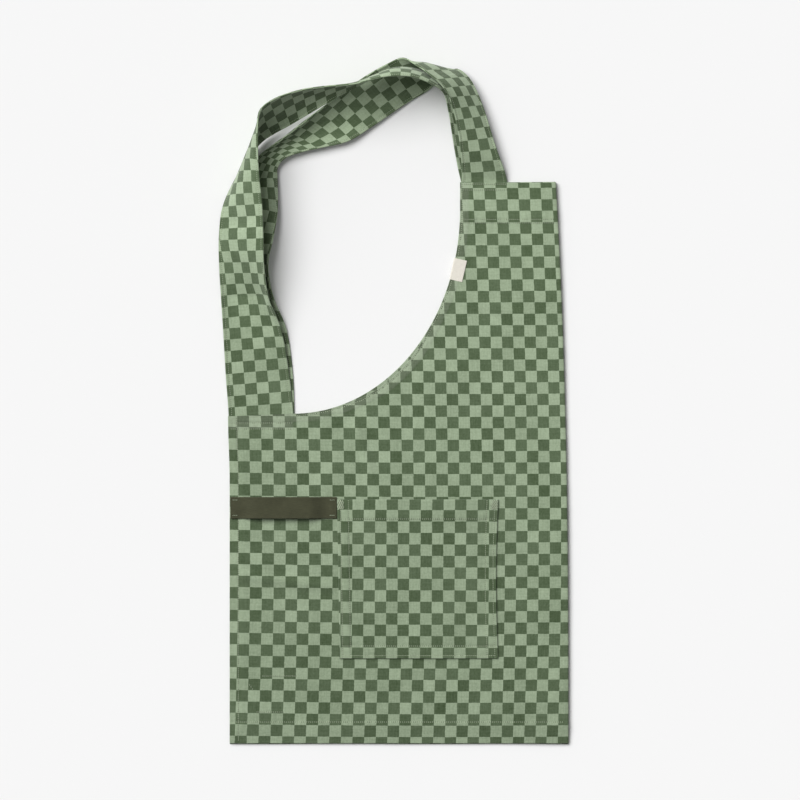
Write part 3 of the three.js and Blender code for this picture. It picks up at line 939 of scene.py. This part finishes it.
def pocket_point(across, up):
    y = POCKET["bottom"] + POCKET_HEIGHT * up
    left = POCKET["left"] + POCKET["lean"] * (1 - up)
    right = POCKET["right"] - POCKET["waist"] * np.sin(np.pi * up)
    x = left + (right - left) * across
    puff = POCKET["puff"] * np.clip(np.sin(np.pi * across), 0, 1) ** POCKET_ROUND * up ** POCKET_SWELL
    return x, y, flat_top(x, y) + CLEARANCE + CLOTH / 2 + puff


def pocket_relief(across, up):
    left = across * POCKET_WIDTH
    right = POCKET_WIDTH - left
    foot = up * POCKET_HEIGHT
    mouth = POCKET_HEIGHT - foot
    sewn_edge = np.minimum(np.minimum(left, right), foot)
    rise = POCKET_SIDE_RISE * within_row(sewn_edge, POCKET_FACING)
    rise = np.maximum(rise, POCKET_HEM_RISE * within_row(mouth, POCKET_HEM))
    for k, row in enumerate(POCKET_SIDES):
        rise = rise + sewn(left - row, foot, k) + sewn(right - row, foot, k + 1)
    for k, row in enumerate(POCKET_FEET):
        rise = rise + sewn(foot - row, left, k)
    rim = POCKET_RIM_RISE * bump(np.minimum(sewn_edge, mouth) - POCKET_RIM_PLACE, POCKET_RIM_REACH)
    return rise + sewn(mouth - POCKET_HEM, left, 0.4) + rim


def pocket_checks(x, y):
    g = POCKET_GRAIN
    u = g["column"] + x / g["width"] - y / g["lean"]
    v = g["row"] - x / g["drop"] - y / g["height"]
    return np.stack([u, v], axis=-1)


def pocket_line(across, up):
    across, up = np.broadcast_arrays(np.asarray(across, float), np.asarray(up, float))
    x, y, z = pocket_point(across, up)
    z = z + CLOTH / 2 + pocket_relief(across, up)
    return np.stack([x, y, z], 1), np.tile([0.0, 0.0, 1.0], (len(x), 1))


side_rows = np.array(POCKET_SIDES) / POCKET_WIDTH
foot_rows = np.array(POCKET_FEET) / POCKET_HEIGHT
mouth_row = 1 - POCKET_HEM / POCKET_HEIGHT
pocket_across = unique_places(POCKET_RIM, *(side_rows + step for step in POCKET_SEAM_STEPS),
                              np.linspace(0.035, 0.965, POCKET_LINES), 1 - side_rows, 1 - POCKET_RIM)
pocket_up = unique_places(POCKET_RIM, foot_rows, np.linspace(0.03, 0.97, POCKET_LINES),
                          mouth_row + POCKET_SEAM_STEPS, 1 - POCKET_RIM)
grid_up, grid_across = np.meshgrid(pocket_up, pocket_across, indexing="ij")
pocket_grid = np.stack(pocket_point(grid_across, grid_up), axis=-1)
pocket_normal = normals_of(pocket_grid)
pocket_outer = pocket_grid + pocket_normal * (CLOTH / 2 + pocket_relief(grid_across, grid_up))[:, :, None]
pocket_inner = pocket_grid - pocket_normal * CLOTH / 2
pocket_uv = pocket_checks(pocket_grid[:, :, 0], pocket_grid[:, :, 1])
pocket = closed_sheet("pocket_cloth", pocket_outer, pocket_inner, pocket_uv, pocket_uv + ONE_CHECK,
                      LIPS["pocket"])

whole = np.linspace(0, 1, POCKET_ROW_POINTS)
inset = POCKET_TACKS["inset"]
pocket_rows = [pocket_line(whole, mouth_row)]
for row in side_rows:
    pocket_rows.append(pocket_line(row, whole))
    pocket_rows.append(pocket_line(1 - row, whole))
for row in foot_rows:
    pocket_rows.append(pocket_line(inset + (1 - 2 * inset) * whole, row))
for side in (inset, 1 - inset):
    zigzag = side + POCKET_TACKS["swing"] * np.where(np.arange(POCKET_TACKS["points"]) % 2, 1, -1)
    climb = np.linspace(POCKET_TACKS["start"], POCKET_TACKS["end"], POCKET_TACKS["points"])
    pocket_rows.append(pocket_line(zigzag, climb))
pocket_stitches = thread("pocket_stitches", pocket_rows)


# Towel loop

LOOP_END_STEPS = np.array([0, 0.5, 1.5])
LOOP_SIDE_STEPS = np.array([0, 0.4, 1.2, 2.4])
LOOP_COLUMNS = 90
LOOP_LINES = 14
LOOP_END_MARGIN = 3.0
LOOP_SIDE_MARGIN = 4.0
SELVEDGE_RISE = 0.18
SELVEDGE_PLACE = 1.2
SELVEDGE_REACH = 1.0
TACK_SINK = 0.25
TACK_REACH = 1.2
TACK_ROWS = (2.0, 11.0)
LOOP_TACKS = dict(inset=2.5, length=8.0, above=4.5, below=4.0, points=6)


def loop_height(x, y):
    to_end = np.minimum(x - LOOP["left"], LOOP["right"] - x)
    rise = LOOP["rise"] * smoothstep(to_end, LOOP["sewn"], 3 * LOOP["sewn"])
    return np.maximum(flat_top(x, y), cloth_top(x, y)) + CLEARANCE + WEBBING / 2 + rise


def loop_line(x, y):
    x, y = np.broadcast_arrays(np.asarray(x, float), np.asarray(y, float))
    return np.stack([x, y, loop_height(x, y) + WEBBING / 2], 1), np.tile([0.0, 0.0, 1.0], (len(x), 1))


loop_x = unique_places(LOOP["left"] + LOOP_END_STEPS,
                       np.linspace(LOOP["left"] + LOOP_END_MARGIN, LOOP["right"] - LOOP_END_MARGIN,
                                   LOOP_COLUMNS),
                       LOOP["right"] - LOOP_END_STEPS)
loop_y = unique_places(LOOP["bottom"] + LOOP_SIDE_STEPS,
                       np.linspace(LOOP["bottom"] + LOOP_SIDE_MARGIN, LOOP["top"] - LOOP_SIDE_MARGIN,
                                   LOOP_LINES),
                       LOOP["top"] - LOOP_SIDE_STEPS)
grid_y, grid_x = np.meshgrid(loop_y, loop_x, indexing="ij")
loop_grid = np.stack([grid_x, grid_y, loop_height(grid_x, grid_y)], axis=-1)
loop_normal = normals_of(loop_grid)
selvedge = np.minimum(grid_y - LOOP["bottom"], LOOP["top"] - grid_y)
tacked = np.minimum(grid_x - LOOP["left"], LOOP["right"] - grid_x)
loop_relief = SELVEDGE_RISE * bump(selvedge - SELVEDGE_PLACE, SELVEDGE_REACH)
for row in TACK_ROWS:
    loop_relief = loop_relief - TACK_SINK * bump(tacked - row, TACK_REACH)
loop_outer = loop_grid + loop_normal * (WEBBING / 2 + loop_relief)[:, :, None]
loop_inner = loop_grid - loop_normal * WEBBING / 2
loop_uv = np.stack([grid_x, grid_y], axis=-1) / CHECK
towel_loop = closed_sheet("towel_loop_webbing", loop_outer, loop_inner, loop_uv, loop_uv, LIPS["loop"])

loop_rows = []
for start in (LOOP["left"] + LOOP_TACKS["inset"], LOOP["right"] - LOOP_TACKS["inset"] - LOOP_TACKS["length"]):
    for y in (LOOP["bottom"] + LOOP_TACKS["above"], LOOP["top"] - LOOP_TACKS["below"]):
        run = np.linspace(start, start + LOOP_TACKS["length"], LOOP_TACKS["points"])
        loop_rows.append(loop_line(run, y))
loop_stitches = thread("towel_loop_stitches", loop_rows, pitch=2.3, length=2.2, width=0.8)


# Label: a tab folded round the armhole edge

LABEL_EDGE_STEPS = np.array([0, 0.4, 1.0])
LABEL_TOP_COLUMNS = 22
LABEL_BEND_COLUMNS = 13
LABEL_UNDER_COLUMNS = 12
LABEL_LINES = 16
LABEL_MARGIN = 2.0

label_radius = CLOTH / 2 + CLEARANCE + TAB / 2
label_top = np.linspace(LABEL["width"], 0, LABEL_TOP_COLUMNS)[:-1]
label_bend = np.linspace(math.pi / 2, 1.5 * math.pi, LABEL_BEND_COLUMNS)
label_under = np.linspace(0, LABEL["under"], LABEL_UNDER_COLUMNS)[1:]
label_path = np.vstack([
    np.stack([label_top, np.full_like(label_top, label_radius)], 1),
    np.stack([label_radius * np.cos(label_bend), label_radius * np.sin(label_bend)], 1),
    np.stack([label_under, np.full_like(label_under, -label_radius)], 1),
])
label_along = unique_places(LABEL_EDGE_STEPS,
                            np.linspace(LABEL_MARGIN, LABEL["length"] - LABEL_MARGIN, LABEL_LINES),
                            LABEL["length"] - LABEL_EDGE_STEPS)
label_y, label_x = np.meshgrid(LABEL["length"] / 2 - label_along, label_path[:, 0] - LABEL["edge"],
                               indexing="ij")
label_middle = float(flat_top(LABEL["x"], LABEL["y"])) - CLOTH / 2
turn = math.radians(LABEL["turn"])
label_grid = np.stack([
    LABEL["x"] + label_x * math.cos(turn) - label_y * math.sin(turn),
    LABEL["y"] + label_x * math.sin(turn) + label_y * math.cos(turn),
    np.broadcast_to(label_middle + label_path[:, 1], label_x.shape),
], axis=-1)
label_normal = normals_of(label_grid)
label_outer = label_grid + label_normal * TAB / 2
label_inner = label_grid - label_normal * TAB / 2
label_uv = np.stack([np.broadcast_to(arc_length(label_path), label_x.shape), label_y], axis=-1) / CHECK
label = closed_sheet("label_tab", label_outer, label_inner, label_uv, label_uv, LIPS["label"])


# Stitches of the body

def body_line(x, y):
    x, y = np.broadcast_arrays(np.asarray(x, float), np.asarray(y, float))
    return np.stack([x, y, cloth_top(x, y)], 1), np.tile([0.0, 0.0, 1.0], (len(x), 1))


# Where the rows start and end, and how many points each has
HEM_LINE = np.linspace(6, BODY_WIDTH - 8, 260)
BACK_LINE = np.linspace(3, BACK_HEIGHT - 3, 260)
STRAP_SEAM_LINE = np.linspace(0.5, ARMHOLE_X - 1, 60)
BIB_SIDE_LINE = np.linspace(ARMHOLE_Y, BODY_HEIGHT - 2, 20)
BIB_SEAM_LINE = np.linspace(*BIB_SEAM_ENDS, 40)
ARMHOLE_SWEEP = np.linspace(0.02, math.pi / 2, 200)
BIB_ROW_START = 3.0  # from the armhole
BIB_ROW_END = 7.0  # from the fold
BIB_ROW_POINTS = 80
TACK_POINTS = 12


def body_rows():
    rows = [body_line(HEM_LINE, HEM_ROW), body_line(open_edge(BACK_LINE) + BACK_ROW, BACK_LINE)]
    for row in BIB_ROWS:
        start = float(open_edge(row)) + BIB_ROW_START
        end = float(fold_edge(row)) - BIB_ROW_END
        rows.append(body_line(np.linspace(start, end, BIB_ROW_POINTS), row))
    for row in STRAP_SEAM_ROWS:
        rows.append(body_line(STRAP_SEAM_LINE, row))
    inset = ARMHOLE_ROW + tucked(ARMHOLE_Y - ARMHOLE_DOWN * np.cos(ARMHOLE_SWEEP))
    rows.append(body_line(ARMHOLE_X + (ARMHOLE_ACROSS + inset) * np.sin(ARMHOLE_SWEEP),
                          ARMHOLE_Y - (ARMHOLE_DOWN + inset) * np.cos(ARMHOLE_SWEEP)))
    rows.append(body_line(ARMHOLE_X + ARMHOLE_ACROSS + ARMHOLE_ROW, BIB_SIDE_LINE))
    for row in BIB_SEAM_ROWS:
        rows.append(body_line(BIB_SEAM_LINE, row))
    for x0, y0, x1, y1 in BACK_TACKS:
        rows.append(body_line(np.linspace(x0, x1, TACK_POINTS), np.linspace(y0, y1, TACK_POINTS)))
    return rows


body_stitches = thread("body_stitches", body_rows())


# Which node each piece stands for, and the material each cloth piece gets

for piece, node, slot, material in (
    (body, "body", "check_cloth", check_cloth),
    (upper_strap, "upper_strap", "check_cloth", check_cloth),
    (lower_strap, "lower_strap", "check_cloth", check_cloth),
    (pocket, "pocket", "check_cloth", check_cloth),
    (towel_loop, "towel_loop", "webbing", webbing_cloth),
    (label, "label", "tab_cloth", tab_cloth),
    (body_stitches, "body", "check_cloth", None),
    (upper_stitches, "upper_strap", "check_cloth", None),
    (lower_stitches, "lower_strap", "check_cloth", None),
    (pocket_stitches, "pocket", "check_cloth", None),
    (loop_stitches, "towel_loop", "webbing", None),
):
    if material:
        piece.data.materials.append(material)
    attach(piece, "root")
    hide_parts(node)

strap_mean_width = STRAP_TAPER * (STRAP_BACK_WIDTH + STRAP_BIB_WIDTH) / 2
strap_mean_width += (1 - STRAP_TAPER) * STRAP_BIB_WIDTH


# Floor, light and camera

FLOOR_SIZE = 40.0
FLOOR_DROP = 0.0004
bpy.ops.mesh.primitive_plane_add(size=FLOOR_SIZE, location=(0, 0, -FLOOR_DROP))
floor = bpy.context.object
floor.name = "floor"
floor.data.materials.append(plain_material("floor", FLOOR_WHITE, 1.0, specular=0.0))

LIGHT_HEIGHT = math.radians(50)
LIGHT_SIDE = math.radians(136)
KEY_STRENGTH = 3.08
KEY_SPREAD = math.radians(42)
ROOM_STRENGTH = 0.307
ROOM_LEAN = 0.6  # the room is brighter on the key's side
sun_data = bpy.data.lights.new("key", "SUN")
sun_data.energy = KEY_STRENGTH
sun_data.angle = KEY_SPREAD
sun = bpy.data.objects.new("key", sun_data)
sun.rotation_euler = (0, math.pi / 2 - LIGHT_HEIGHT, LIGHT_SIDE)
bpy.context.scene.collection.objects.link(sun)
world = bpy.context.scene.world or bpy.data.worlds.new("studio")
bpy.context.scene.world = world
world.use_nodes = True
room = world.node_tree
looking = add(room, "ShaderNodeTexCoord").outputs["Generated"]
bright_side = (math.cos(LIGHT_SIDE) * ROOM_LEAN, math.sin(LIGHT_SIDE) * ROOM_LEAN, 0.0)
dot = add(room, "ShaderNodeVectorMath", {0: looking, 1: bright_side}, operation="DOT_PRODUCT")
glow = math_node(room, "MULTIPLY", math_node(room, "ADD", dot.outputs["Value"], 1.0), ROOM_STRENGTH)
room.links.new(glow, room.nodes["Background"].inputs["Strength"])
room.nodes["Background"].inputs["Color"].default_value = (1, 1, 1, 1)

PHOTO_MIDDLE = (255.0, 514.5)
PHOTO_WIDTH = 1.2
CAMERA_HEIGHT = 40.0
SENSOR = 36.0
camera_data = bpy.data.cameras.new("camera")
camera_data.sensor_width = SENSOR
camera_data.lens = SENSOR * CAMERA_HEIGHT / PHOTO_WIDTH
camera_data.clip_end = 100.0
camera = bpy.data.objects.new("camera", camera_data)
camera.location = (*metres((*PHOTO_MIDDLE, 0))[:2], CAMERA_HEIGHT)
bpy.context.scene.collection.objects.link(camera)
bpy.context.scene.camera = camera
bpy.context.scene.view_settings.view_transform = "Standard"
